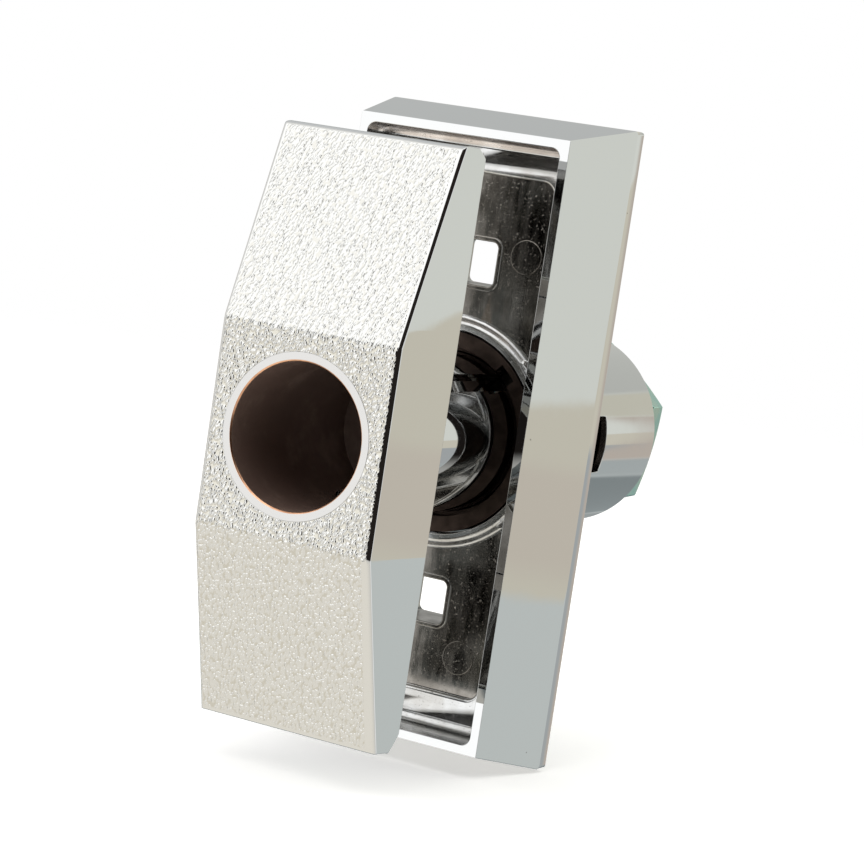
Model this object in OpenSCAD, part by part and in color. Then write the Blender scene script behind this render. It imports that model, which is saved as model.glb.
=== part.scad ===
// Pop-out T-handle door lock, shown popped out and with no lock cylinder in its bore.
// Frame: the turning axis is Y. The origin is on it, in the plane of the door's front face.
// The handle stands out towards -Y, the barrel goes through the door towards +Y, and Z is up.

/* [Handle] */
// Length of the T-handle
handle_len = 79; // [70:0.5:90]
// Width of the handle at its back
handle_back_w = 28.8; // [26.5:0.1:29]
// Width of the textured front face, at its middle facet
handle_face_w = 26.5; // [25:0.1:28]
// Width of the textured front face, at its thin ends
handle_end_w = 27; // [26:0.1:28.4]
// Thickness of the handle at its middle facet
handle_mid_t = 13; // [11:0.5:16]
// Thickness of the handle at its thin ends
handle_end_t = 4.4; // [3.6:0.1:6]
// Length of the flat middle facet
facet_len = 26.8; // [24:0.2:30]
// Distance from the door face to the back of the popped-out handle
handle_out = 36; // [35:0.5:37]
// Wall left in front of the cored-out back
handle_wall = 2.4; // [1.6:0.1:2.6]
// Rim of solid metal around the cored-out back
handle_rim = 2.6; // [2:0.1:3]
// Rib down the middle of each cored hollow
handle_rib = 1.6; // [1:0.1:2.5]
// Chamfer along the lower back edge, up the end face
foot_chamfer = 2.5; // [1:0.1:3]
// Chamfer along the upper back edge, down the end face
head_chamfer = 1.2; // [0.6:0.1:1.5]
// Both chamfers, up the thickness
back_chamfer = 1.5; // [0.8:0.1:2]

/* [Pocket] */
// Gap between each end of the closed handle and the hollow
end_gap = 1.5; // [1:0.1:2.5]
// Gap between each side of the closed handle and the hollow
side_gap = 0.5; // [0.3:0.05:1]
// How far each end of the pocket flares out, from the rim to the door
end_flare = 2.7; // [2:0.1:5]
// How far each side of the pocket flares out, from the rim to the door
side_flare = 3.2; // [2.9:0.1:5]
// Height of the rim above the door
pocket_d = 16.2; // [15.5:0.1:18]
// Width of the flat land of the rim
rim_land = 1.3; // [1:0.05:1.35]
// Straight band at the foot of the sloping sides
foot_band = 2.2; // [1:0.1:4]
// Corner radius of the hollow
hollow_r = 1.3; // [0.8:0.1:3]
// Height of the ledge that the closed handle faces
ledge_h = 9.6; // [9.2:0.1:9.6]
// Depth of the two recesses below the ledge
recess_d = 1.1; // [0.6:0.1:1.6]
// Ledge left along each side of the recesses
ledge_side = 3.3; // [2.4:0.1:4.5]
// Ledge left between each cove and the recess beside it
ledge_end = 3.4; // [2.4:0.1:4]
// Corner radius of the recesses
recess_r = 1.8; // [1:0.1:3]
// Radius of the cove that leads from the ledge to each end wall
cove_r = 1.7; // [1.6:0.1:2.6]
// How far each cove reaches in from the end wall
cove_w = 1.4; // [1.1:0.1:1.5]
// Fillet where a cove meets the end wall
cove_fillet = 0.8; // [0.4:0.1:1]
// Thickness of the floor
floor_t = 2.6; // [2:0.1:4]
// Wall of the cored-out back
pocket_wall = 2.3; // [1.8:0.1:2.6]
// Outer radius of the ring around the turning parts
boss_r = 15.4; // [15.2:0.1:16]
// Height of that ring above the ledge
boss_h = 0.3; // [0.1:0.1:0.5]
// How far the ring's foot slopes out, down to the recesses
boss_foot = 1.1; // [0.6:0.1:1.4]
// Outer radius of the hub behind the floor
hub_r = 18; // [17.6:0.1:18.4]

/* [Screw slots] */
// Width of a mounting slot, across the pocket
slot_w = 8.2; // [6:0.2:9]
// Height of a mounting slot
slot_h = 6.2; // [5:0.2:7]
// Distance of each slot's centre from the axis
slot_z = 23.9; // [23:0.1:25]
// Corner radius of a slot
slot_r = 0.9; // [0.4:0.1:1.5]
// Wall of the collar around a slot, behind the floor
slot_wall = 1.8; // [1.2:0.1:2.4]
// Width of the raised lip around a slot
lip_w = 0.7; // [0.4:0.1:1]
// Height of the raised lip
lip_h = 0.3; // [0.1:0.1:0.5]

/* [Barrel] */
// Outer radius of the barrel
barrel_r = 14.4; // [14.3:0.05:14.5]
// Wall of the barrel
barrel_wall = 1; // [0.9:0.05:1.1]
// Length of the barrel behind the door face
barrel_len = 31.5; // [31:0.5:36]
// Length of the barrel held inside the hub
barrel_nose = 7.5; // [7.2:0.1:7.8]
// Radius of the flange that seats in the back of the hub
barrel_flange_r = 16.4; // [16:0.1:16.8]
// Thickness of that flange
barrel_flange_t = 1.6; // [1.2:0.1:1.6]
// Side of each square window in the barrel
window_side = 8.2; // [6:0.2:9]
// Distance from the door face to the window's centre
window_y = 10.2; // [9:0.1:14]
// Radius of a cross pin
cross_pin_r = 1.25; // [0.8:0.05:1.25]
// Wall between the barrel's flange and a cross pin
pin_wall = 0.35; // [0.2:0.05:0.6]
// Depth of a cross pin's head below the hub's outside
pin_sunk = 0.6; // [0.2:0.1:1]

/* [Spindle] */
// Radius of the bore for the lock cylinder
cylinder_r = 9.6; // [9.4:0.05:9.7]
// Depth of the bore for the lock cylinder
cylinder_depth = 29; // [28:0.5:30]
// Outer radius of the spindle
spindle_r = 11.2; // [11.1:0.05:11.25]
// Radius of the ring that shows in the handle's face
ring_r = 10.86; // [10.7:0.02:10.9]
// Bevel at the mouth of the bore
mouth_bevel = 0.2; // [0.1:0.1:0.8]
// How far the spindle reaches behind the door face
spindle_tail = 2; // [1.6:0.1:2]
// Thickness of the web behind the lock cylinder
web_t = 3; // [2:0.1:3.4]
// Radius of the hole through the web
web_hole_r = 4.5; // [3:0.1:5]
// Radius of the spring chamber
chamber_r = 9; // [8.8:0.05:9.4]
// Radius of the side hole for the lock's bolt
bolt_hole_r = 4.4; // [4:0.1:5.4]
// Distance from the handle's back to the side hole
bolt_hole_y = 8.5; // [8:0.1:9]
// Turn of the side hole around the axis, from +X
bolt_angle = 270; // [255:1:285]
// Turn of the key groove around the axis, from +X
key_angle = 47; // [42:0.5:52]
// Width of the drive key
key_w = 2.7; // [2.2:0.1:3]
// Length of the drive key
key_len = 4.75; // [4:0.05:5]
// Distance from the door face to the key's front end
key_y = 6; // [5.8:0.05:6.2]
// Rim of the sleeve's flange left outside the key slot
notch_rim = 0.9; // [0.6:0.1:1.2]
// Radius at the floor of the key groove
groove_floor_r = 10.3; // [10.2:0.05:10.5]
// Width of the mounting flange inside the handle
flange_w = 24.8; // [23:0.1:25]
// Length of the mounting flange
flange_len = 40; // [39:0.5:41]
// Corner radius of the mounting flange
flange_r = 6; // [3:0.5:8]
// Thickness of the mounting flange
flange_t = 2.4; // [2:0.1:3]
// Distance from the flange's end to a screw's centre
flange_screw_in = 4; // [3.8:0.1:4.4]
// Shank radius of a flange screw
screw_r = 1.95; // [1.4:0.05:2]
// Head radius of a flange screw
screw_head_r = 3.6; // [3:0.1:3.7]
// Length of a flange screw
screw_len = 8; // [6:0.5:9]
// Width of the slot in a screw's head
driver_w = 0.9; // [0.6:0.1:1.2]
// Depth of that slot
driver_d = 0.8; // [0.5:0.1:1]
// Free depth below a screw's tip
screw_free = 0.3; // [0.2:0.1:0.6]

/* [Drive sleeve] */
// Outer radius of the sleeve
sleeve_r = 12.6; // [12.55:0.05:12.65]
// Radius of the sleeve's flange
sleeve_flange_r = 14.1; // [13.8:0.05:14.1]
// Thickness of the sleeve's flange
sleeve_flange_t = 1.8; // [1.5:0.1:2]
// Height of the sleeve's face above the door
sleeve_face = 9.8; // [9.7:0.05:9.85]
// Radius of the clear mouth around the spindle
mouth_r = 11.9; // [11.6:0.05:12.1]
// Depth of the clear mouth
mouth_d = 2; // [1:0.1:3]
// Thickness of the sleeve's end wall
end_wall = 3.2; // [2.6:0.1:3.2]
// Radius of the threaded neck
neck_r = 9.4; // [8:0.1:10]

/* [Rear fastening] */
// Hexagon nut, across flats
hex_af = 24.6; // [22:0.1:24.8]
// Hexagon nut, thickness
hex_t = 4.7; // [4:0.1:6]
// Turn of the tightened hexagon nut
hex_turn = 21; // [0:1:59]
// Thickness of the thrust washer in front of it
thrust_t = 0.8; // [0.5:0.1:1.5]
// Outer radius of the thrust washer
thrust_r = 14; // [13.7:0.05:14.1]
// Radius of the drive stud
stud_r = 4.76; // [4.2:0.02:5]
// Radius of the stud's free end, behind its nut
stud_tip_r = 4.4; // [3.8:0.1:4.5]
// Length of stud standing free behind its nut
stud_free = 9.6; // [6:0.2:12]
// Bevel at the stud's tip
stud_bevel = 0.8; // [0.4:0.1:1.2]
// Length of the neck behind the hexagon nut
neck_free = 0.6; // [0.4:0.1:1]
// Jam nut, across flats
jam_af = 14.3; // [13:0.1:15]
// Jam nut, thickness
jam_t = 5.2; // [4:0.1:6]
// Lock washer, thickness
lock_t = 1.6; // [1:0.1:2]

/* [Bushes and spring] */
// Length of the front bush
front_bush_len = 6.6; // [5:0.1:7]
// Length of the rear bush
rear_bush_len = 7; // [5:0.1:9]
// Thickness of the thrust ring behind the sleeve's flange
front_ring_t = 0.5; // [0.3:0.05:0.6]
// Diameter of the spring wire
wire_d = 1.5; // [1:0.1:1.6]
// Number of turns of the spring
spring_turns = 9; // [6:1:10]
// Gap between the nearly closed turns at each end
coil_gap = 0.5; // [0.3:0.1:0.8]
// Facets around one turn of the spring
coil_steps = 20; // [8:2:32]
// Facets around the spring wire
coil_sides = 6; // [6:1:12]
// Thickness of the spring's seat washer
seat_t = 1; // [0.6:0.1:1.2]
// Gap between the spring and the wall of its chamber
spring_gap = 0.8; // [0.5:0.1:1]
// Gap between the seat washer and the wall of the chamber
seat_gap = 0.4; // [0.3:0.05:0.5]

/* [Clearances] */
// Radial running clearance of a shaft in its bush
run_gap = 0.06; // [0.03:0.01:0.1]
// Radial gap of parts pressed or staked together
press_gap = 0.02; // [0.01:0.01:0.03]
// Gap between flat faces that slide or seat late
face_gap = 0.1; // [0.05:0.05:0.15]
// Gap left between the closed handle and the ledge
close_gap = 0.4; // [0.3:0.05:0.5]

/* [Hidden] */
$fn = 96;
// Smallest step that keeps two faces from meeting in one plane
slice = 0.01;
// Overshoot of a cut through a face
over = 1;
// Radius of a nut's round crown, as a share of its width across flats
crown_share = 0.48;
// Angle of a nut's chamfer
chamfer_angle = 30;
// Steps along each stretch where the handle's sides twist
side_steps = 10;

// Travel from popped out to closed
stroke = handle_out - ledge_h - close_gap;
handle_back = -handle_out;
handle_front = handle_back - handle_mid_t;
slope_len = (handle_len - facet_len) / 2;
// How far along its slope a height lies: 0 on the middle facet, 1 at the handle's end
function slope_share(z) = max(0, abs(z) - facet_len / 2) / slope_len;
function handle_t(z) = handle_mid_t + (handle_end_t - handle_mid_t) * slope_share(z);
function face_w(z) = handle_face_w + (handle_end_w - handle_face_w) * slope_share(z);

hollow_w = handle_back_w + 2 * side_gap;
hollow_len = handle_len + 2 * end_gap;
rim_w = hollow_w + 2 * rim_land;
rim_len = hollow_len + 2 * rim_land;
pocket_w = rim_w + 2 * side_flare;
pocket_len = rim_len + 2 * end_flare;
recess_w = hollow_w - 2 * ledge_side;
recess_len = hollow_len - 2 * (cove_w + ledge_end);
ledge_y = -ledge_h;
recess_y = ledge_y + recess_d;
floor_y = recess_y + floor_t;
boss_y = ledge_y - boss_h;

barrel_in = barrel_r - barrel_wall;
bush_r = barrel_in - press_gap;
bush_bore = sleeve_r + run_gap;
pin_y = -barrel_flange_t - cross_pin_r - pin_wall;
pin_in = barrel_in + face_gap;
pin_out = hub_r - pin_sunk;

sleeve_bore = spindle_r + run_gap;
sleeve_y = -sleeve_face;
sleeve_back = barrel_len;
sleeve_floor = sleeve_back - end_wall;
neck_end = barrel_len + thrust_t + hex_t + neck_free;
washer_end = neck_end + lock_t;
jam_end = washer_end + jam_t;
stud_end = jam_end + stud_free;
stud_front = sleeve_floor + face_gap;

flange_screw_z = flange_len / 2 - flange_screw_in;
groove_w = key_w + 2 * face_gap;
key_slot_w = key_w + 2 * press_gap;
notch_r = sleeve_flange_r - notch_rim;
key_front = -key_y;
key_back = key_front + key_len;
groove_back = key_back + face_gap;
groove_front = key_front - stroke - over;
bolt_y = handle_back + bolt_hole_y;
spindle_floor = handle_front + cylinder_depth;
chamber_y = spindle_floor + web_t;

seat_y = sleeve_floor - seat_t;
spring_r = chamber_r - spring_gap;

// A slice with its outline in X and Z, from y0 back to y1
module slab(y0, y1)
  translate([0, y1, 0]) rotate([90, 0, 0]) linear_extrude(height = y1 - y0) children();

// A bar with its outline in Y and Z, centred across X
module bar(w)
  rotate([90, 0, 90]) linear_extrude(height = w, center = true) children();

// A round on the turning axis, from y0 back to y1
module rod(r, y0, y1)
  translate([0, y0, 0]) rotate([-90, 0, 0]) cylinder(r = r, h = y1 - y0);

// A cone on the turning axis
module taper(r0, r1, y0, y1)
  translate([0, y0, 0]) rotate([-90, 0, 0]) cylinder(r1 = r0, r2 = r1, h = y1 - y0);

// A plain ring on the turning axis
module ring(r_in, r_out, y0, y1)
  difference() {
    rod(r_out, y0, y1);
    rod(r_in, y0 - over, y1 + over);
  }

// A rectangle with true round corners
module rounded(w, h, r) {
  square([w - 2 * r, h], center = true);
  square([w, h - 2 * r], center = true);
  for (x = [-1, 1])
    for (z = [-1, 1])
      translate([x * (w / 2 - r), z * (h / 2 - r)]) circle(r = r);
}

// A form turned about the axis from its outline in radius and Y
module turned(outline)
  rotate([-90, 0, 0]) rotate_extrude() polygon(outline);

// A hexagon of a given width across its flats, with its back face chamfered to a round crown
module hexagon(af, y0, y1, turn) {
  corner = af / sqrt(3);
  crown = af * crown_share;
  wide = 2 * corner - crown;
  shoulder = y1 - (wide - crown) * tan(chamfer_angle);
  intersection() {
    rotate([0, -turn, 0]) slab(y0, y1) circle(r = corner, $fn = 6);
    turned([[0, y0], [wide, y0], [wide, shoulder], [crown, y1], [0, y1]]);
  }
}

// The key's cross-section, laid out at the key's place around the axis
module key_bar(w, r0, r1, y0, y1)
  rotate([0, -key_angle, 0]) translate([r0, y0, -w / 2]) cube([r1 - r0, y1 - y0, w]);

// The way out of the lock cylinder's bolt, from the axis to one side
module bolt_hole(r, y)
  translate([0, y, 0]) rotate([0, 90 - bolt_angle, 0]) cylinder(r = r, h = barrel_r);

// One outline of the pocket's drafted body, straight at the foot
module drafted(foot, top)
  polygon([
    [-foot / 2, 0], [-foot / 2, -foot_band], [-top / 2, -pocket_d],
    [top / 2, -pocket_d], [foot / 2, -foot_band], [foot / 2, 0]
  ]);

// The open hollow in front of the ledge. Along each end the ledge rises in a cove, which a small
// fillet joins to the end wall.
module hollow() {
  cove_z = hollow_len / 2 - cove_w;
  fillet_z = hollow_len / 2 - cove_fillet;
  fillet_y = ledge_y - cove_r + sqrt(pow(cove_r - cove_fillet, 2) - pow(fillet_z - cove_z, 2));
  joint_z = cove_z + (fillet_z - cove_z) * cove_r / (cove_r - cove_fillet);
  front = -pocket_d - over;
  intersection() {
    slab(front, ledge_y) rounded(hollow_w, hollow_len, hollow_r);
    bar(hollow_w + over) {
      translate([front, -hollow_len / 2]) square([fillet_y - front, hollow_len]);
      translate([front, -cove_z]) square([ledge_y - front, 2 * cove_z]);
      for (s = [-1, 1]) {
        translate([fillet_y, s * fillet_z]) circle(r = cove_fillet);
        intersection() {
          translate([ledge_y - cove_r, s * cove_z]) circle(r = cove_r);
          translate([front, -joint_z]) square([ledge_y - front, 2 * joint_z]);
        }
      }
    }
  }
}

// The two recesses, parted by the round boss
module recesses()
  slab(ledge_y - over, recess_y)
    difference() {
      rounded(recess_w, recess_len, recess_r);
      circle(r = boss_r);
    }

// The cored-out back, which leaves the hub, the slot collars and the ribs standing
module cored_back()
  slab(floor_y, over)
    difference() {
      rounded(pocket_w - 2 * pocket_wall, pocket_len - 2 * pocket_wall, hollow_r);
      circle(r = hub_r);
      for (s = [-1, 1]) {
        translate([0, s * slot_z])
          rounded(slot_w + 2 * slot_wall, slot_h + 2 * slot_wall, slot_r + slot_wall);
        translate([0, s * pocket_len / 4]) square([slot_wall, pocket_len / 2], center = true);
      }
    }

module slots()
  for (s = [-1, 1])
    translate([0, 0, s * slot_z]) slab(-pocket_d, over) rounded(slot_w, slot_h, slot_r);

// The raised lips around the slots
module lips()
  for (s = [-1, 1])
    translate([0, 0, s * slot_z]) slab(recess_y - lip_h, recess_y + slice)
      rounded(slot_w + 2 * lip_w, slot_h + 2 * lip_w, slot_r + lip_w);

module pocket()
  color("gainsboro")
    difference() {
      union() {
        difference() {
          intersection() {
            linear_extrude(height = pocket_len, center = true) drafted(pocket_w, rim_w);
            bar(pocket_w) rotate(-90) drafted(pocket_len, rim_len);
          }
          hollow();
          recesses();
          cored_back();
        }
        taper(boss_r, boss_r + boss_foot, boss_y, recess_y + slice);
        lips();
      }
      slots();
      rod(barrel_r + press_gap, -pocket_d, over);
      rod(barrel_flange_r + press_gap, -barrel_flange_t, over);
      for (s = [-1, 1])
        cross_pin(s, cross_pin_r + press_gap, pin_in, hub_r + over);
    }

// A pin across the barrel's nose, above the axis or below it
module cross_pin(side, r, from, to)
  translate([0, pin_y, side > 0 ? from : -to]) cylinder(r = r, h = to - from, $fn = 48);

module upper_pin()
  color("dimgray") cross_pin(1, cross_pin_r, pin_in, pin_out);

module lower_pin()
  color("dimgray") cross_pin(-1, cross_pin_r, pin_in, pin_out);

module barrel()
  color("lightgray")
    difference() {
      union() {
        rod(barrel_r, -barrel_nose, barrel_len);
        rod(barrel_flange_r, -barrel_flange_t, 0);
      }
      rod(barrel_in, -barrel_nose - over, barrel_len + over);
      translate([0, window_y, 0])
        cube([2 * barrel_r + over, window_side, window_side], center = true);
      for (s = [-1, 1])
        cross_pin(s, cross_pin_r + press_gap, barrel_in - over, barrel_r + over);
    }

module front_bush()
  color("peru")
    ring(bush_bore, bush_r, -barrel_nose + face_gap, -barrel_nose + face_gap + front_bush_len);

module rear_bush()
  color("peru")
    ring(bush_bore, bush_r, barrel_len - face_gap - rear_bush_len, barrel_len - face_gap);

module front_thrust_ring()
  color("ivory")
    ring(bush_bore + face_gap, sleeve_flange_r, -barrel_nose - front_ring_t, -barrel_nose);

module drive_sleeve()
  color("sienna")
    difference() {
      union() {
        rod(sleeve_flange_r, sleeve_y, sleeve_y + sleeve_flange_t);
        rod(sleeve_r, sleeve_y, sleeve_back);
        rod(neck_r, sleeve_back, neck_end);
      }
      rod(mouth_r, sleeve_y - over, sleeve_y + mouth_d);
      rod(sleeve_bore, sleeve_y, sleeve_floor);
      rod(stud_r + press_gap, sleeve_floor - over, neck_end + over);
      key_bar(key_slot_w, spindle_r - over, sleeve_r + over, key_front, key_back + press_gap);
      key_bar(key_slot_w, spindle_r - over, notch_r, sleeve_y - over, key_front + over);
      bolt_hole(bolt_hole_r + face_gap, bolt_y + stroke);
    }

module drive_key()
  color("dimgray")
    intersection() {
      key_bar(key_w, groove_floor_r + face_gap, sleeve_r + over, key_front, key_back);
      rod(sleeve_r - press_gap, key_front - over, key_back + over);
    }

module rear_thrust_washer()
  color("lightgray")
    ring(neck_r + face_gap, thrust_r, barrel_len, barrel_len + thrust_t);

module hex_nut()
  color("mediumaquamarine")
    difference() {
      hexagon(hex_af, barrel_len + thrust_t, barrel_len + thrust_t + hex_t, hex_turn);
      rod(neck_r + press_gap, 0, neck_end + over);
    }

module stud()
  color("silver")
    turned([
      [0, stud_front], [stud_r, stud_front], [stud_r, jam_end], [stud_tip_r, jam_end],
      [stud_tip_r, stud_end - stud_bevel], [stud_tip_r - stud_bevel, stud_end], [0, stud_end]
    ]);

module lock_washer()
  color("silver")
    ring(stud_r + face_gap, jam_af / 2, neck_end, washer_end);

module jam_nut()
  color("silver")
    difference() {
      hexagon(jam_af, washer_end, jam_end, 0);
      rod(stud_r + press_gap, washer_end - over, jam_end + over);
    }

module spring_seat()
  color("silver")
    ring(stud_r + face_gap, chamber_r - seat_gap, seat_y, sleeve_floor);

module spring()
  color("slategray")
    coil(spring_r - wire_d / 2, chamber_y + face_gap, seat_y - face_gap, spring_turns);

// A helical wire with a nearly closed turn at each end, swept as one skin
function coil_rise(t, turns, open_pitch, closed_pitch) =
  t < 1 ? t * closed_pitch
  : t > turns - 1 ? closed_pitch + (turns - 2) * open_pitch + (t - turns + 1) * closed_pitch
  : closed_pitch + (t - 1) * open_pitch;

module coil(mean_r, y0, y1, turns) {
  closed_pitch = wire_d + coil_gap;
  r = wire_d / 2;
  open_pitch = (y1 - y0 - wire_d - 2 * closed_pitch) / (turns - 2);
  rings = turns * coil_steps;
  points = [
    for (i = [0 : rings], j = [0 : coil_sides - 1])
      let (
        t = i / coil_steps,
        a = 360 * t,
        b = 360 * (j + 0.5) / coil_sides,
        rho = mean_r + r * cos(b),
        y = y0 + r + coil_rise(t, turns, open_pitch, closed_pitch) + r * sin(b)
      )
      [rho * cos(a), y, rho * sin(a)]
  ];
  skin = [
    for (i = [0 : rings - 1], j = [0 : coil_sides - 1])
      let (k = (j + 1) % coil_sides, p = i * coil_sides, q = p + coil_sides)
      each [[p + j, p + k, q + k], [p + j, q + k, q + j]]
  ];
  caps = [
    [for (j = [coil_sides - 1 : -1 : 0]) j],
    [for (j = [0 : coil_sides - 1]) rings * coil_sides + j]
  ];
  polyhedron(points = points, faces = concat(skin, caps));
}

// The handle's three front facets and its sides, running past its back and its two ends. The
// back is one width all along and the front keeps nearly one width while the handle thins, so
// each side twists out towards the ends.
module handle_loft() {
  reach = slope_len + over;
  stations = concat(
    [for (i = [side_steps : -1 : 0]) -facet_len / 2 - reach * i / side_steps],
    [for (i = [0 : side_steps]) facet_len / 2 + reach * i / side_steps]
  );
  points = [
    for (z = stations)
      let (
        front = face_w(z) / 2,
        back = front + (handle_back_w / 2 - front) * (handle_t(z) + over) / handle_t(z)
      )
      each [
        [-back, handle_back + over, z], [-front, handle_back - handle_t(z), z],
        [front, handle_back - handle_t(z), z], [back, handle_back + over, z]
      ]
  ];
  last = 4 * (len(stations) - 1);
  skin = [
    for (p = [0 : 4 : last - 4], j = [0 : 3])
      let (k = (j + 1) % 4, q = p + 4)
      each [[p + j, q + j, q + k], [p + j, q + k, p + k]]
  ];
  polyhedron(points = points, faces = concat(skin, [[0, 1, 2, 3], [last + 3, last + 2, last + 1, last]]));
}

// The handle's outside, cut to its length, with a chamfer along each back edge
module handle_form() {
  end = handle_len / 2;
  toe = handle_back - back_chamfer;
  front = handle_front - over;
  intersection() {
    handle_loft();
    bar(handle_back_w + over)
      polygon([
        [handle_back, foot_chamfer - end], [toe, -end], [front, -end],
        [front, end], [toe, end], [handle_back, end - head_chamfer]
      ]);
  }
}

// One cored hollow above the hub, with its roof parallel to the sloping facet
module core() {
  z0 = flange_len / 2 + handle_rim;
  z1 = handle_len / 2 - handle_rim;
  w = handle_face_w - 2 * handle_rim;
  intersection() {
    slab(handle_front, handle_back + over)
      translate([0, (z0 + z1) / 2]) rounded(w, z1 - z0, 1);
    bar(handle_back_w)
      polygon([
        [handle_back + over, z0], [handle_back - handle_t(z0) + handle_wall, z0],
        [handle_back - handle_t(z1) + handle_wall, z1], [handle_back + over, z1]
      ]);
  }
}

module handle()
  color("whitesmoke")
    difference() {
      handle_form();
      rod(ring_r + press_gap, handle_front - over, handle_back + over);
      slab(handle_back - flange_t, handle_back + over)
        rounded(flange_w + 2 * face_gap, flange_len + 2 * face_gap, flange_r);
      for (s = [0, 1])
        mirror([0, 0, s])
          difference() {
            core();
            translate([0, handle_back - flange_t / 2, handle_len / 4])
              cube([handle_rib, 2 * handle_mid_t, handle_len / 2], center = true);
          }
      for (s = [-1, 1])
        translate([0, 0, s * flange_screw_z])
          rod(screw_r + press_gap, handle_back - screw_len - screw_free, handle_back);
    }

module spindle()
  color("lightgray")
    difference() {
      union() {
        rod(ring_r, handle_front, handle_back);
        rod(spindle_r, handle_back - flange_t, spindle_tail);
        slab(handle_back - flange_t, handle_back) rounded(flange_w, flange_len, flange_r);
      }
      rod(cylinder_r, handle_front - over, spindle_floor);
      taper(cylinder_r + mouth_bevel + over, cylinder_r, handle_front - over,
        handle_front + mouth_bevel);
      rod(web_hole_r, spindle_floor - over, chamber_y + over);
      rod(chamber_r, chamber_y, spindle_tail + over);
      bolt_hole(bolt_hole_r, bolt_y);
      key_bar(groove_w, groove_floor_r, spindle_r + over, groove_front, groove_back);
      for (s = [-1, 1])
        translate([0, 0, s * flange_screw_z]) {
          rod(screw_r + face_gap, handle_back - flange_t - over, handle_back + over);
          taper(screw_r + face_gap, screw_head_r + face_gap,
            handle_back - screw_head_r + screw_r, handle_back + slice);
        }
    }

// A countersunk screw with a straight slot, its head just below the handle's back
module flange_screw() {
  top = handle_back - slice;
  difference() {
    turned([
      [0, handle_back - screw_len], [screw_r, handle_back - screw_len],
      [screw_r, top - screw_head_r + screw_r], [screw_head_r, top], [0, top]
    ]);
    translate([0, top, 0]) cube([2 * screw_head_r + over, 2 * driver_d, driver_w], center = true);
  }
}

module upper_screw()
  color("silver") translate([0, 0, flange_screw_z]) flange_screw();

module lower_screw()
  color("silver") translate([0, 0, -flange_screw_z]) flange_screw();

pocket();
barrel();
upper_pin();
lower_pin();
front_bush();
rear_bush();
front_thrust_ring();
drive_sleeve();
drive_key();
rear_thrust_washer();
hex_nut();
stud();
lock_washer();
jam_nut();
spring_seat();
spring();
handle();
spindle();
upper_screw();
lower_screw();
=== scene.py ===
# A pop-out T-handle door lock, its handle popped out in line with the pocket, and no lock cylinder
# in its bore. It stands in its own frame, in metres: the turning axis is Y, the door is at Y = 0.
import math

import bmesh
import bpy
from mathutils import Matrix, Vector


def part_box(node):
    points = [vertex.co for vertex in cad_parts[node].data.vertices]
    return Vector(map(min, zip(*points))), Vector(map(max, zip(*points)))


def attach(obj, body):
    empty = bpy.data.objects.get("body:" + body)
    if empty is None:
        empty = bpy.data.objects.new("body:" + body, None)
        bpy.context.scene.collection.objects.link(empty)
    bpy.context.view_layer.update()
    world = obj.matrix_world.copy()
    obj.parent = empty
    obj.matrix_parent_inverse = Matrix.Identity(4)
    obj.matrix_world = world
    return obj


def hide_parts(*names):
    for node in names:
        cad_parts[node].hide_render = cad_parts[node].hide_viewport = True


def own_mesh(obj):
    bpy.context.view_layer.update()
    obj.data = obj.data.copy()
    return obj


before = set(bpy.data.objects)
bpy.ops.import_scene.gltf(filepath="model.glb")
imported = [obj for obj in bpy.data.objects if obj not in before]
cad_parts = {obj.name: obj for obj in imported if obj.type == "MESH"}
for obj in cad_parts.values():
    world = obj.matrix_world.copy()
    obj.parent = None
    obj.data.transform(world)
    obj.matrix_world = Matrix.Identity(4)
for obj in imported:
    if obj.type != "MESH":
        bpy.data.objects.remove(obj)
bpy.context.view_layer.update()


# The pocket is a pressure die casting in zinc. Its drafted sides and rim were buffed and plated
# with bright chrome, its hollow was brushed before plating, and its back is as cast. Painted shade
# darkens the plate of its floor and back, and a painted highlight brightens its top end wall. Two
# ejector pins pushed it out of the die and left their round marks on the floor. Sizes are millimetres.
MM = 0.001
NEAR = 0.1
FACING = 0.9
SHARP_DEG = 9.3
RIM_Y = -16.2
BOSS_Y = -9.9
BOSS_R = 15.4
LEDGE_Y = -9.6
LIP_Y = -8.8
FLOOR_Y = -8.5
BACK_OF_FLOOR_Y = -5.9
HOLLOW_HALF_W = 14.9
HOLLOW_HALF_LEN = 41.0
CORED_HALF_W = 17.2
CORED_HALF_LEN = 42.8
CORNER_X = 18.0
CORNER_Z = 43.6
END_WALL_Z = 38.0
END_WALL_FACING = 0.2
FLOOR_RISE = 0.3
FLOOR_RISE_Z = (-29.0, -36.5)
LEDGE_BEAD = 0.5
BOSS_BEAD = 0.45
HUB_EDGE = 0.1
INNER_RIM_EDGE = 0.12
OUTER_RIM_EDGE = 0.04
CORNER_EDGE = 0.5
PLAIN_EDGE = 0.2
EJECTOR_R = 2.4
EJECTOR_DEPTH = 0.2
EJECTOR_PROUD = 0.15
EJECTOR_EDGE = 0.12
EJECTOR_PLACES = ((8.5, 25.7), (7.4, -31.0))
SMOOTH = {"interpolation_type": "SMOOTHSTEP"}
COLOUR = {"data_type": "RGBA"}


def linear(code):
    """An sRGB hex colour as linear RGBA."""
    channels = [int(code[i:i + 2], 16) / 255 for i in (1, 3, 5)]
    return [c / 12.92 if c <= 0.04045 else ((c + 0.055) / 1.055) ** 2.4 for c in channels] + [1.0]


def per_metre(size):
    """How often a pattern size millimetres wide repeats in a metre."""
    return 1 / (size * MM)


def feed(tree, node, inputs):
    """Fill a node's inputs, by name or in order, each with a plain value or the output it takes."""
    for socket, value in inputs.items() if isinstance(inputs, dict) else enumerate(inputs):
        if isinstance(value, bpy.types.NodeSocket):
            tree.links.new(value, node.inputs[socket])
        else:
            node.inputs[socket].default_value = value


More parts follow.
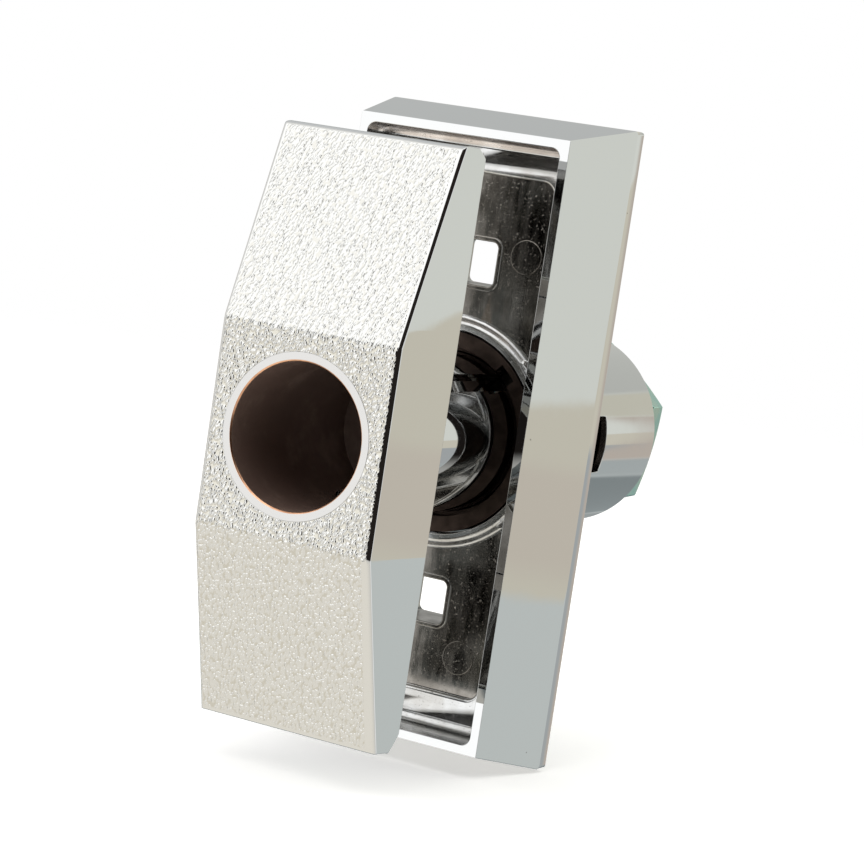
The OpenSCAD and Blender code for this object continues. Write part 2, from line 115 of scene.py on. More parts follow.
def add(tree, kind, inputs=(), out=None, **settings):
    """Add a shader node, and give back its output called out, or else its first one in use."""
    node = tree.nodes.new("ShaderNode" + kind)
    for key, value in settings.items():
        setattr(node, key, value)
    feed(tree, node, inputs)
    return node.outputs[out] if out else next((s for s in node.outputs if s.enabled), None)


def start_material(name, colour, metallic, roughness):
    """A new material with its tree, the piece's own coordinates and its shader."""
    material = bpy.data.materials.new(name)
    material.use_nodes = True
    tree = material.node_tree
    tree.nodes.clear()
    shader = tree.nodes.new("ShaderNodeBsdfPrincipled")
    feed(tree, shader, {"Base Color": linear(colour), "Metallic": metallic, "Roughness": roughness})
    add(tree, "OutputMaterial", {"Surface": shader.outputs["BSDF"]})
    return material, tree, add(tree, "TexCoord", out="Object"), shader


# Bright chrome on buffed zinc. The wheel leaves the face wavy by 3 micrometres over some 6 mm,
# with a finer ripple about a millimetre wide, so straight reflections get ragged edges. Handling
# leaves a thin haze, and a rare pit of the casting stays as a dark dot.
def chrome(name, shine=(0.012, 0.05), swell=0.003, ripple=0.0005, plate="#c4c5c5"):
    material, tree, place, shader = start_material(name, plate, 1.0, 0.03)
    broad = add(tree, "TexNoise", {"Vector": place, "Scale": per_metre(6.0), "Detail": 1.0})
    waves = add(tree, "Bump", {"Height": broad, "Distance": swell * MM})
    drawn = add(tree, "Mapping", {"Vector": place, "Scale": (1.0, 1.0, 0.4)})
    fine = add(tree, "TexNoise", {"Vector": drawn, "Scale": per_metre(0.9), "Detail": 3.0, "Roughness": 0.6})
    waves = add(tree, "Bump", {"Height": fine, "Distance": ripple * MM, "Normal": waves})
    hands = add(tree, "TexNoise", {"Vector": place, "Scale": per_metre(9.0), "Detail": 5.0, "Roughness": 0.6})
    haze = add(tree, "MapRange", (hands, 0.4, 0.8, *shine), **SMOOTH)
    pits = add(tree, "TexVoronoi", {"Vector": place, "Scale": per_metre(6.0)})
    sound = add(tree, "MapRange", (pits, 0.012, 0.022), **SMOOTH)
    colour = add(tree, "Mix", {"Factor": sound, "A": linear("#55514b"), "B": linear(plate)}, **COLOUR)
    feed(tree, shader, {"Base Color": colour, "Roughness": haze, "Normal": waves})
    return material


# Chrome over a brushed face. Fine grooves 0.12 mm apart, which run along the stretched axis,
# spread what the face mirrors, and bits that the brush tore out glitter as bright specks. A slope
# in the floor's shading alone brightens its low end, where the brush ran out.
def brushed_chrome(name, plate, worn, along, groove, shine, rise=0.0):
    material, tree, place, shader = start_material(name, plate, 1.0, 0.15)
    drawn = add(tree, "Mapping", {"Vector": place, "Scale": [1 / a for a in along]})
    lines = add(tree, "TexNoise", {"Vector": drawn, "Scale": per_metre(0.12), "Detail": 3.0,
                                   "Roughness": 0.6})
    relief = add(tree, "Bump", {"Height": lines, "Distance": groove * MM})
    bits = add(tree, "TexNoise", {"Vector": place, "Scale": per_metre(0.3)})
    torn = add(tree, "MapRange", (bits, 0.66, 0.74), **SMOOTH)
    relief = add(tree, "Bump", {"Height": torn, "Distance": 0.02 * MM, "Normal": relief})
    broad = add(tree, "TexNoise", {"Vector": place, "Scale": per_metre(4.0), "Detail": 1.0})
    relief = add(tree, "Bump", {"Height": broad, "Distance": 0.006 * MM, "Normal": relief})
    up = add(tree, "SeparateXYZ", {"Vector": place}, "Z")
    starts, ends = FLOOR_RISE_Z
    low_end = add(tree, "MapRange", (up, ends * MM, starts * MM, 1.0, 0.0), **SMOOTH)
    relief = add(tree, "Bump", {"Height": low_end, "Distance": rise * MM, "Normal": relief})
    wider = add(tree, "Mapping", {"Vector": place, "Scale": [1 / (1 + (a - 1) / 6) for a in along]})
    streaks = add(tree, "TexNoise", {"Vector": wider, "Scale": per_metre(1.2), "Detail": 3.0,
                                     "Roughness": 0.6})
    haze = add(tree, "MapRange", (streaks, 0.3, 0.7, *shine), **SMOOTH)
    clouds = add(tree, "TexNoise", {"Vector": place, "Scale": per_metre(4.0), "Detail": 4.0})
    clean = add(tree, "MapRange", (clouds, 0.35, 0.7), **SMOOTH)
    colour = add(tree, "Mix", {"Factor": clean, "A": linear(worn), "B": linear(plate)}, **COLOUR)
    feed(tree, shader, {"Base Color": colour, "Roughness": haze, "Normal": relief})
    return material


# Faces that nobody buffed keep the die's own skin under the same plate: an orange peel 0.9 mm
# wide and flow marks some 6 mm wide, which blur what it mirrors.
def unbuffed_chrome(name, plate, worn, shine, peel):
    material, tree, place, shader = start_material(name, plate, 1.0, 0.2)
    drawn = add(tree, "Mapping", {"Vector": place, "Scale": (1.0, 1.0, 0.4)})
    flow = add(tree, "TexNoise", {"Vector": drawn, "Scale": per_metre(6.0), "Detail": 4.0, "Roughness": 0.6})
    skin = add(tree, "TexNoise", {"Vector": place, "Scale": per_metre(0.9)})
    relief = add(tree, "Bump", {"Height": skin, "Distance": peel * MM})
    relief = add(tree, "Bump", {"Height": flow, "Distance": 2 * peel * MM, "Normal": relief})
    haze = add(tree, "MapRange", (flow, 0.3, 0.7, *shine), **SMOOTH)
    clean = add(tree, "MapRange", (flow, 0.3, 0.7), **SMOOTH)
    colour = add(tree, "Mix", {"Factor": clean, "A": linear(worn), "B": linear(plate)}, **COLOUR)
    feed(tree, shader, {"Base Color": colour, "Roughness": haze, "Normal": relief})
    return material


def from_solid(node):
    """A bmesh of a CAD node's own solid, its loose triangles merged into whole faces."""
    bm = bmesh.new()
    bm.from_mesh(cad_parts[node].data)
    bmesh.ops.remove_doubles(bm, verts=bm.verts, dist=0.001 * MM)
    bmesh.ops.dissolve_limit(bm, angle_limit=math.radians(0.2), verts=bm.verts, edges=bm.edges)
    return bm


def finish_piece(bm, name, materials, body, edge=0.0, instead_of=()):
    """Turn a bmesh into a smooth piece that rides on a body. Its sharp edges are rounded by edge
    millimetres, or by what edge, a function, says for each of them."""
    weight = bm.edges.layers.float.new("bevel_weight_edge")
    sharp = [e for e in bm.edges if e.is_manifold and e.calc_face_angle() > math.radians(SHARP_DEG)]
    widths = {e: edge(e) if callable(edge) else edge for e in sharp}
    widest = max(widths.values(), default=0.0)
    for e in sharp:
        e[weight] = widths[e] / widest if widest else 0.0
    mesh = bpy.data.meshes.new(name)
    bm.to_mesh(mesh)
    bm.free()
    for material in materials:
        mesh.materials.append(material)
    mesh.shade_smooth()
    piece = bpy.data.objects.new(name, mesh)
    bpy.context.scene.collection.objects.link(piece)
    if widest:
        rounding = piece.modifiers.new("edge_rounding", "BEVEL")
        rounding.width = widest * MM
        rounding.segments = 3
        rounding.limit_method = "WEIGHT"
        rounding.use_clamp_overlap = False
        flats = piece.modifiers.new("flat_faces_stay_flat", "WEIGHTED_NORMAL")
        flats.mode = "FACE_AREA"
        flats.weight = 100
    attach(piece, body)
    if instead_of:
        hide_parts(*instead_of)
    return piece


def middle_of(edge):
    """The middle of an edge in millimetres, and its distance from the turning axis."""
    middle = (edge.verts[0].co + edge.verts[1].co) / 2 / MM
    return middle, math.hypot(middle.x, middle.z)


def pocket_edge(edge):
    """The radius of each of the casting's edges: full beads round the recesses and the boss, outer
    corners that the wheel rounded, a rim that it left sharp, and plain edges elsewhere."""
    middle, radius = middle_of(edge)
    inside = abs(middle.x) < HOLLOW_HALF_W + NEAR and abs(middle.z) < HOLLOW_HALF_LEN + NEAR
    corner = abs(middle.x) > CORNER_X and abs(middle.z) > CORNER_Z
    if edge.calc_face_angle_signed() < 0:
        return 0.0
    if inside and abs(middle.y - LEDGE_Y) < NEAR:
        return LEDGE_BEAD
    if inside and abs(middle.y - BOSS_Y) < NEAR:
        return BOSS_BEAD if radius > BOSS_R - NEAR else HUB_EDGE
    if abs(middle.y - RIM_Y) < NEAR:
        return INNER_RIM_EDGE if inside else OUTER_RIM_EDGE
    return CORNER_EDGE if corner and abs(middle.y) > NEAR else PLAIN_EDGE


ACROSS = (40.0, 1.0, 1.0)
LENGTHWISE = (1.0, 1.0, 24.0)
bright = chrome("polished_chrome_plate")
brushed = brushed_chrome("cross_brushed_chrome_plate", "#c4c5c5", "#b2b1ae", ACROSS, 0.005, (0.12, 0.24))
# Painted shade: the floor's plate, which the ejector marks share, is painted darker than the sides' plate,
# standing in for the shade in the hollow.
floor = brushed_chrome("floor_brushed_chrome_painted_shade", "#928e88", "#75716b", LENGTHWISE, 0.0012, (0.08, 0.2),
                       FLOOR_RISE)
# Painted highlight: the top end wall's plate is painted a bright pinkish white, standing in for the light it
# mirrors.
painted_bright_end_wall = brushed_chrome("end_wall_brushed_chrome_painted_highlight", "#f2ebe8", "#d8cfca", ACROSS, 0.008, (0.22, 0.4))
# Painted shade: the back's plate is painted darker than the handle's unbuffed back, standing in for the shade
# it sits in.
as_cast_painted_shade = unbuffed_chrome("unbuffed_back_plate_painted_shade", "#a3a29f", "#8a8884", (0.42, 0.26), 0.01)

pocket = from_solid("pocket")
finishes = [bright, brushed, floor, as_cast_painted_shade, painted_bright_end_wall]
for face in pocket.faces:
    middle = face.calc_center_median() / MM
    inside = abs(middle.x) < HOLLOW_HALF_W + NEAR and abs(middle.z) < HOLLOW_HALF_LEN + NEAR
    cored = abs(middle.x) < CORED_HALF_W and abs(middle.z) < CORED_HALF_LEN
    if cored and middle.y > BACK_OF_FLOOR_Y + NEAR or face.normal.y > FACING:
        face.material_index = finishes.index(as_cast_painted_shade)
    elif inside and LIP_Y - NEAR < middle.y < FLOOR_Y + NEAR and face.normal.y < -FACING:
        face.material_index = finishes.index(floor)
    elif inside and middle.y > RIM_Y + NEAR:
        # The faces of the top end wall get the plate with the painted highlight.
        painted_highlight_at_top = middle.z > END_WALL_Z and face.normal.z < -END_WALL_FACING
        face.material_index = finishes.index(painted_bright_end_wall if painted_highlight_at_top else brushed)
finish_piece(pocket, "pocket_casting", finishes, "housing", pocket_edge, ["pocket"])

marks = bmesh.new()
mark_y = FLOOR_Y - EJECTOR_PROUD + EJECTOR_DEPTH / 2
for x, z in EJECTOR_PLACES:
    stood = Matrix.Translation((x * MM, mark_y * MM, z * MM)) @ Matrix.Rotation(math.radians(90), 4, "X")
    bmesh.ops.create_cone(marks, cap_ends=True, segments=64, radius1=EJECTOR_R * MM, radius2=EJECTOR_R * MM,
                          depth=EJECTOR_DEPTH * MM, matrix=stood)
finish_piece(marks, "ejector_pin_marks", [floor], "housing", EJECTOR_EDGE)


# The barrel is a drawn steel tube, polished and chromed like the pocket but a little duller. Its
# nose sits in the pocket's hub, where a steel pin from above and one from below hold it.
TURNED_EDGE = 0.12
dull_bright = chrome("chromed_steel_tube", (0.04, 0.1), 0.002, 0.0004)
finish_piece(from_solid("barrel"), "chromed_barrel", [dull_bright], "housing",
             TURNED_EDGE, ["barrel"])


# Two ground steel pins go through the hub's wall and the barrel's, above the axis and below it.
# They are oiled black, which leaves a soft dark sheen, rubbed brighter in patches, over fine
# grinding marks.
def oiled_steel(name, dark, light, roughness):
    material, tree, place, shader = start_material(name, dark, 1.0, roughness)
    rubbed = add(tree, "TexNoise", {"Vector": place, "Scale": per_metre(1.2), "Detail": 4.0,
                                    "Roughness": 0.6})
    wear = add(tree, "MapRange", (rubbed, 0.35, 0.7), **SMOOTH)
    haze = add(tree, "MapRange", (rubbed, 0.3, 0.7, roughness, roughness * 0.6), **SMOOTH)
    drawn = add(tree, "Mapping", {"Vector": place, "Scale": (1.0, 1 / 8, 1.0)})
    ground = add(tree, "TexNoise", {"Vector": drawn, "Scale": per_metre(0.15)})
    relief = add(tree, "Bump", {"Height": ground, "Distance": 0.006 * MM})
    colour = add(tree, "Mix", {"Factor": wear, "A": linear(dark), "B": linear(light)}, **COLOUR)
    feed(tree, shader, {"Base Color": colour, "Roughness": haze, "Normal": relief})
    return material


def dress(node, material):
    """Give a CAD node that stays as it is its material."""
    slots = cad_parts[node].data.materials
    slots.clear()
    slots.append(material)


black_steel = oiled_steel("oil_blackened_steel", "#232120", "#3b3835", 0.42)
for pin in ("upper_pin", "lower_pin"):
    dress(pin, black_steel)


# The two bearings are bushes of sintered bronze, pressed into the barrel, their dull metal full of
# fine pores. In front of them a thin nylon ring, turned and milky, takes the push of the sleeve's
# flange.
PORE_D = 0.12


def sintered(name, dark, light, pore):
    material, tree, place, shader = start_material(name, dark, 1.0, 0.5)
    grains = add(tree, "TexVoronoi", {"Vector": place, "Scale": per_metre(pore)})
    pores = add(tree, "MapRange", (grains, 0.1, 0.4), **SMOOTH)
    relief = add(tree, "Bump", {"Height": pores, "Distance": 0.015 * MM})
    clouds = add(tree, "TexNoise", {"Vector": place, "Scale": per_metre(2.5), "Detail": 4.0})
    patina = add(tree, "MapRange", (clouds, 0.3, 0.7), **SMOOTH)
    colour = add(tree, "Mix", {"Factor": patina, "A": linear(dark), "B": linear(light)}, **COLOUR)
    feed(tree, shader, {"Base Color": colour, "Normal": relief})
    return material


bronze = sintered("sintered_bronze", "#7c5a34", "#a87c4a", PORE_D)
for bush in ("front_bush", "rear_bush"):
    dress(bush, bronze)

nylon, tree, place, shader = start_material("turned_nylon", "#e4ddcb", 0.0, 0.45)
drawn = add(tree, "Mapping", {"Vector": place, "Scale": (1.0, 1 / 3, 1.0)})
tooled = add(tree, "TexNoise", {"Vector": drawn, "Scale": per_metre(0.2)})
relief = add(tree, "Bump", {"Height": tooled, "Distance": 0.008 * MM})
feed(tree, shader, {"Subsurface Weight": 0.15, "Normal": relief})
dress("front_thrust_ring", nylon)


# The drive sleeve is pressed and sintered from iron powder, steam treated to a dark brown, and its
# flange shows in the pocket around the spindle. A black key in its slot drives the spindle.
IRON_PORE_D = 0.15
brown_iron = sintered("steam_treated_iron", "#332b27", "#4a3f39", IRON_PORE_D)
finish_piece(from_solid("drive_sleeve"), "sintered_drive_sleeve", [brown_iron], "drive",
             TURNED_EDGE, ["drive_sleeve"])
dress("drive_key", black_steel)


# The thrust washer is stamped from steel and zinc plated. The plate of the hexagon nut on the
# sleeve's neck is passivated blue-green, in a thin film that drifts towards yellow.
NUT_EDGE = 0.15


def zinc_plate(name, cool, warm, roughness):
    material, tree, place, shader = start_material(name, cool, 1.0, roughness)
    drift = add(tree, "TexNoise", {"Vector": place, "Scale": per_metre(4.0), "Detail": 3.0,
                                   "Roughness": 0.55})
    film = add(tree, "MapRange", (drift, 0.32, 0.68), **SMOOTH)
    clouds = add(tree, "TexNoise", {"Vector": place, "Scale": per_metre(0.8), "Detail": 3.0})
    haze = add(tree, "MapRange", (clouds, 0.3, 0.7, roughness, roughness * 1.6), **SMOOTH)
    crystals = add(tree, "TexNoise", {"Vector": place, "Scale": per_metre(0.25)})
    relief = add(tree, "Bump", {"Height": crystals, "Distance": 0.004 * MM})
    dents = add(tree, "TexNoise", {"Vector": place, "Scale": per_metre(2.0)})
    relief = add(tree, "Bump", {"Height": dents, "Distance": 0.008 * MM, "Normal": relief})
    colour = add(tree, "Mix", {"Factor": film, "A": linear(cool), "B": linear(warm)}, **COLOUR)
    feed(tree, shader, {"Base Color": colour, "Roughness": haze, "Normal": relief})
    return material


clear_zinc = zinc_plate("clear_zinc_plate", "#a9b0b4", "#b9b7ae", 0.22)
teal_zinc = zinc_plate("blue_green_zinc_plate", "#8fbdb6", "#a9c4b6", 0.14)
finish_piece(from_solid("rear_thrust_washer"), "rear_thrust_washer_stamping", [clear_zinc], "drive",
             TURNED_EDGE, ["rear_thrust_washer"])
finish_piece(from_solid("hex_nut"), "passivated_hexagon_nut", [teal_zinc], "drive",
             NUT_EDGE, ["hex_nut"])


# The drive stud is a zinc plated steel screw with a rolled thread, which carries what the lock
# turns behind the door. A lock washer and a jam nut clamp it in the sleeve's end wall.
CREST_R = 4.4
ROOT_R = 3.75
THREAD_PITCH = 1.27
THREAD_STEPS = 48
SUNK = 0.2
TIP_CHAMFER = 0.8
TIP_LEN = 2.0
TIP_GAP = 0.05
PAST_JAM_NUT = 9.6
UNDER_JAM_NUT = 0.4


def screw_thread(bm, y_from, y_to):
    """One unbroken ridge wound round the axis from y_from to y_to, its two ends closed. Its root is
    sunk into the core, and its crest is an eighth of the pitch wide."""
    ridge = ((ROOT_R - SUNK, 0.08), (ROOT_R, 0.08), (CREST_R, 0.44),
             (CREST_R, 0.56), (ROOT_R, 0.92), (ROOT_R - SUNK, 0.92))
    ring = [bm.verts.new((r * MM, (y_from + share * THREAD_PITCH) * MM, 0)) for r, share in ridge]
    start = bm.faces.new(ring)
    turns = (y_to - y_from) / THREAD_PITCH - 1
    count = round(turns * THREAD_STEPS)
    swept = bmesh.ops.spin(bm, geom=list(start.edges), cent=(0, 0, 0), axis=(0, 1, 0),
                           dvec=(0, THREAD_PITCH / THREAD_STEPS * MM, 0),
                           angle=-math.tau * count / THREAD_STEPS, steps=count)
    last = [e for e in swept["geom_last"] if isinstance(e, bmesh.types.BMEdge)]
    bmesh.ops.contextual_create(bm, geom=last)


stud_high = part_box("stud")[1] / MM
shank_r = stud_high.x
jam_end = stud_high.y - PAST_JAM_NUT
stud = from_solid("stud")
for vert in stud.verts:
    radius = math.hypot(vert.co.x, vert.co.z) / MM
    if vert.co.y / MM > jam_end - NEAR and abs(radius - CREST_R) < NEAR:
        vert.co.x *= ROOT_R / CREST_R
        vert.co.z *= ROOT_R / CREST_R
screw_thread(stud, jam_end - UNDER_JAM_NUT, stud_high.y - TIP_GAP)
for vert in stud.verts:
    radius = math.hypot(vert.co.x, vert.co.z) / MM
    from_tip = stud_high.y - vert.co.y / MM
    limit = min(CREST_R, CREST_R - TIP_CHAMFER + from_tip) if from_tip < TIP_LEN else shank_r
    if radius > limit:
        vert.co.x *= limit / radius
        vert.co.z *= limit / radius
bmesh.ops.recalc_face_normals(stud, faces=stud.faces)
finish_piece(stud, "threaded_drive_stud", [clear_zinc], "drive", 0.0, ["stud"])
finish_piece(from_solid("lock_washer"), "lock_washer_stamping", [clear_zinc], "drive",
             TURNED_EDGE, ["lock_washer"])
finish_piece(from_solid("jam_nut"), "plated_jam_nut", [clear_zinc], "drive",
             TURNED_EDGE, ["jam_nut"])


# The spring is coiled from bright music wire. It pushes the spindle out, stands on a steel washer
# against the sleeve's end wall, and closes up when the handle is pushed home.
WIRE_D = 1.5
TURNS = 9
TURN_STEPS = 40
COIL_GAP = 0.5
spring_low, spring_high = (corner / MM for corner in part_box("spring"))
spring_steel = oiled_steel("music_wire", "#5d5f61", "#8b8d8e", 0.3)
closed_pitch = WIRE_D + COIL_GAP
open_pitch = (spring_high.y - spring_low.y - WIRE_D - 2 * closed_pitch) / (TURNS - 2)
coil_r = spring_high.x - WIRE_D / 2
coil = bmesh.new()
bmesh.ops.create_circle(coil, cap_ends=True, segments=12, radius=WIRE_D / 2 * MM,
                        matrix=Matrix.Translation((coil_r * MM, (spring_low.y + WIRE_D / 2) * MM, 0)))
last = list(coil.edges)
for turns, pitch in ((1, closed_pitch), (TURNS - 2, open_pitch), (1, closed_pitch)):
    swept = bmesh.ops.spin(coil, geom=last, cent=(0, 0, 0), axis=(0, 1, 0),
                           dvec=(0, pitch / TURN_STEPS * MM, 0),
                           angle=-math.tau * turns, steps=TURN_STEPS * turns)
    last = [e for e in swept["geom_last"] if isinstance(e, bmesh.types.BMEdge)]
bmesh.ops.contextual_create(coil, geom=last)
bmesh.ops.recalc_face_normals(coil, faces=coil.faces)
spring_piece = finish_piece(coil, "coiled_wire_spring", [spring_steel], "drive", 0.0,
                            ["spring"])
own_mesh(spring_piece)
dress("spring_seat", clear_zinc)


# The T-handle is a zinc die casting, buffed and chromed. The die gave its three front facets a
# pebbled grain of about half a millimetre, which stops in a smooth border at the edges. Its
# cored-out back was plated without any buffing.
FACE_HALF_W = 13.25
FACE_HALF_LEN = 39.5
KINK_Z = 13.4
KINK_SOFT = 0.4
SIDE_BORDER = 0.4
LOW_SIDE_BORDER = 1.0
END_BORDER = 0.5
BORDER_SOFT = 0.25
PEBBLE_D = 0.46
PEBBLE_H = 0.12
PEBBLE_WANDER = 0.8
UPPER_GRAIN = 0.5
LOWER_GRAIN = 0.65
HANDLE_BACK_Y = -36.0
BACK_DEPTH = 3.0
FACETS_DEPTH = 4.2
CORE_DEPTH = 10.8
CORE_HALF_W = 12.6
CORE_HALF_LEN = 37.5
RING_R = 10.88
BACK_EDGE = 0.12
KINK_EDGE = 0.9
TOP_EDGE = 0.7
BOTTOM_EDGE = 0.35
UPPER_SIDE_EDGE = 0.5
SIDE_EDGE = 0.62


def within(tree, value, limit):
    """1 where the value's size is less than limit millimetres, falling softly to 0."""
    size = add(tree, "Math", (value,), operation="ABSOLUTE")
    return add(tree, "MapRange", (size, (limit - BORDER_SOFT) * MM, limit * MM, 1.0, 0.0), **SMOOTH)


# Chrome over the die's pebbled grain: leaning drops that bulge towards the eye, each with its own
# highlight, and with a groove round it that painted shade darkens. The grain is shallower on the
# upper and lower facets.
def pebbled_chrome(name):
    material, tree, place, shader = start_material(name, "#c4c5c5", 1.0, 0.1)
    x, _, z = add(tree, "SeparateXYZ", {"Vector": place}).node.outputs
    lower = add(tree, "MapRange", (z, -(KINK_Z + KINK_SOFT) * MM, -KINK_Z * MM, 1.0, 0.0), **SMOOTH)
    shift = add(tree, "Math", (lower, (LOW_SIDE_BORDER - SIDE_BORDER) * MM, x), operation="MULTIPLY_ADD")
    grained = within(tree, shift, FACE_HALF_W - SIDE_BORDER)
    above_kink = (z, KINK_Z * MM, (KINK_Z + KINK_SOFT) * MM, 1.0, UPPER_GRAIN)
    for share in (within(tree, z, FACE_HALF_LEN - END_BORDER),
                  add(tree, "MapRange", above_kink, **SMOOTH),
                  add(tree, "MapRange", (lower, 0.0, 1.0, 1.0, LOWER_GRAIN), **SMOOTH)):
        grained = add(tree, "Math", (grained, share), operation="MULTIPLY")
    flat = add(tree, "CombineXYZ", {"X": x, "Y": z})
    leaning = add(tree, "Mapping", {"Vector": flat, "Rotation": (0, 0, math.radians(-20)),
                                    "Scale": (0.8, 1.3, 1.0)}, vector_type="TEXTURE")
    bends = add(tree, "TexNoise", {"Vector": leaning, "Scale": per_metre(0.9), "Detail": 1.0}, "Color")
    bent = add(tree, "Mix", {"Factor": PEBBLE_WANDER * MM, "A": leaning, "B": bends}, data_type="VECTOR")
    pebbles = add(tree, "TexVoronoi", {"Vector": bent, "Scale": per_metre(PEBBLE_D), "Smoothness": 0.25},
                  feature="SMOOTH_F1", voronoi_dimensions="2D")
    dome = add(tree, "MapRange", (pebbles, 0.05, 0.75, 1.0, 0.0), **SMOOTH)
    raised = add(tree, "Math", (dome, grained), operation="MULTIPLY")
    relief = add(tree, "Bump", {"Height": raised, "Distance": PEBBLE_H * MM})
    fine = add(tree, "TexNoise", {"Vector": place, "Scale": per_metre(0.3), "Detail": 1.0})
    relief = add(tree, "Bump", {"Height": fine, "Distance": 0.004 * MM, "Normal": relief})
    # Painted shade: the groove round each pebble is painted a darker beige.
    groove = add(tree, "MapRange", (pebbles, 0.4, 0.75), **SMOOTH)
    painted_groove_shade = add(tree, "Math", (groove, grained), operation="MULTIPLY")
    colour = add(tree, "Mix", {"Factor": painted_groove_shade, "A": linear("#cacac8"), "B": linear("#b7b4aa")}, **COLOUR)
    haze = add(tree, "MapRange", (grained, 0.0, 1.0, 0.05, 0.13), **SMOOTH)
    feed(tree, shader, {"Base Color": colour, "Roughness": haze, "Normal": relief})
    return material


def handle_edge(edge):
    """The radius of each of the handle's edges: soft along the face, softest at its kinks, crisp at
    the back, and none at the ring."""
    middle, radius = middle_of(edge)
    along = abs(edge.verts[0].co.z - edge.verts[1].co.z) > abs(edge.verts[0].co.x - edge.verts[1].co.x)
    if edge.calc_face_angle_signed() < 0 or radius < RING_R + NEAR:
        return 0.0
    if middle.y > HANDLE_BACK_Y - BACK_DEPTH:
        return BACK_EDGE
    if along:
        return UPPER_SIDE_EDGE if middle.z > KINK_Z else SIDE_EDGE
    if abs(abs(middle.z) - KINK_Z) < NEAR:
        return KINK_EDGE
    return TOP_EDGE if middle.z > 0 else BOTTOM_EDGE


handle_chrome = chrome("buffed_chrome_plate")
pebbled = pebbled_chrome("pebbled_chrome_plate")
unbuffed = unbuffed_chrome("unbuffed_chrome_plate", "#c4c5c5", "#b5b4b1", (0.14, 0.07), 0.003)
handle = from_solid("handle")
finishes = [handle_chrome, pebbled, unbuffed]
for face in handle.faces:
    middle = face.calc_center_median() / MM
    cored = abs(middle.x) < CORE_HALF_W and abs(middle.z) < CORE_HALF_LEN
    if face.normal.y < -FACING and middle.y < HANDLE_BACK_Y - FACETS_DEPTH:
        face.material_index = finishes.index(pebbled)
    elif face.normal.y > FACING or cored and middle.y > HANDLE_BACK_Y - CORE_DEPTH:
        face.material_index = finishes.index(unbuffed)
finish_piece(handle, "t_handle_casting", finishes, "t_handle", handle_edge, ["handle"])


# The spindle is turned from steel and plated with the same chrome. Its ring shows in the handle's
# face, and the bore for the lock cylinder is blackened inside, with bare copper at the mouth.
RING_FACE_Y = -49.0
RING_DEPTH = 0.6
BORE_R = 9.6
MOUTH_W = 0.4
SPINDLE_EDGE = 0.08
ring_bright = chrome("turned_chrome_plate", (0.05, 0.12), 0.001, 0.0004, "#b3b2b0")
spindle_bright = chrome("chromed_spindle_plate", (0.02, 0.06), 0.002, 0.0004)

# Oil blacking in the bore: a brown-black skin, smeared by fingers, over fine turning marks.
bore_black, tree, place, shader = start_material("oil_blackened_bore", "#6f5b50", 0.0, 0.5)
drawn = add(tree, "Mapping", {"Vector": place, "Scale": (1 / 4, 1.0, 1 / 4)})
tooled = add(tree, "TexNoise", {"Vector": drawn, "Scale": per_metre(0.3)})
relief = add(tree, "Bump", {"Height": tooled, "Distance": 0.01 * MM})
smears = add(tree, "TexNoise", {"Vector": place, "Scale": per_metre(9.0), "Detail": 5.0, "Roughness": 0.7})
oily = add(tree, "MapRange", (smears, 0.45, 0.8), **SMOOTH)
colour = add(tree, "Mix", {"Factor": oily, "A": linear("#67534a"), "B": linear("#806d62")}, **COLOUR)
haze = add(tree, "MapRange", (oily, 0.0, 1.0, 0.6, 0.4), **SMOOTH)
feed(tree, shader, {"Base Color": colour, "Roughness": haze, "Normal": relief})

# Copper flash, the plate's first layer. The chrome is missing at the mouth and it glows warm there.
copper, tree, place, shader = start_material("bare_copper_flash", "#e0a987", 1.0, 0.3)
clouds = add(tree, "TexNoise", {"Vector": place, "Scale": per_metre(3.0), "Detail": 4.0})
tarnish = add(tree, "MapRange", (clouds, 0.35, 0.65), **SMOOTH)
colour = add(tree, "Mix", {"Factor": tarnish, "A": linear("#e8b592"), "B": linear("#b98a6c")}, **COLOUR)
feed(tree, shader, {"Base Color": colour})

spindle = from_solid("spindle")
finishes = [spindle_bright, ring_bright, bore_black, copper]
for face in spindle.faces:
    middle = face.calc_center_median() / MM
    reach = max(math.hypot(vert.co.x, vert.co.z) for vert in face.verts) / MM
    if middle.y < RING_FACE_Y + RING_DEPTH:
        at_mouth = reach < BORE_R + MOUTH_W and face.normal.y < 0
        face.material_index = finishes.index(copper if at_mouth else ring_bright)
    elif math.hypot(middle.x, middle.z) < BORE_R + NEAR:
        face.material_index = finishes.index(bore_black)
finish_piece(spindle, "chromed_spindle", finishes, "t_handle", SPINDLE_EDGE, ["spindle"])


# Two countersunk screws hold the spindle's flange in the handle's back. They are plain zinc
# plated machine screws with a straight slot.
for screw in ("upper_screw", "lower_screw"):
    dress(screw, clear_zinc)


# The studio is a pale table in soft light. The camera stands right of the handle and a little
# above it, and its frame is taken as 864 by 864.
FRAME_PX = 864
FOCAL_PX = 2787.961
CAMERA_AT = (179.058, -352.406, 39.702)
CAMERA_RIGHT = (0.8679, 0.4741, 0.1484)
CAMERA_DOWN = (0.1796, -0.0207, -0.9835)
CAMERA_AHEAD = (-0.4632, 0.8802, -0.1031)
SENSOR_W = 36.0
LIGHT_POWER = 1.42
SOFTBOX_GAIN = 1.25
LEAN_ABOUT = 52.0
TABLE_R = 700.0
TABLE_Z = -45.5
TABLE_FADE = (100.0, 650.0)

camera_data = bpy.data.cameras.new("camera")
camera_data.sensor_width = SENSOR_W
camera_data.lens = SENSOR_W * FOCAL_PX / FRAME_PX
camera_data.clip_start = 0.01
camera = bpy.data.objects.new("camera", camera_data)
axes = Matrix((CAMERA_RIGHT, [-v for v in CAMERA_DOWN], [-v for v in CAMERA_AHEAD])).transposed()
turned = axes.to_quaternion().to_matrix().to_4x4()
camera.matrix_world = Matrix.Translation(Vector(CAMERA_AT) * MM) @ turned
bpy.context.scene.collection.objects.link(camera)
bpy.context.scene.camera = camera

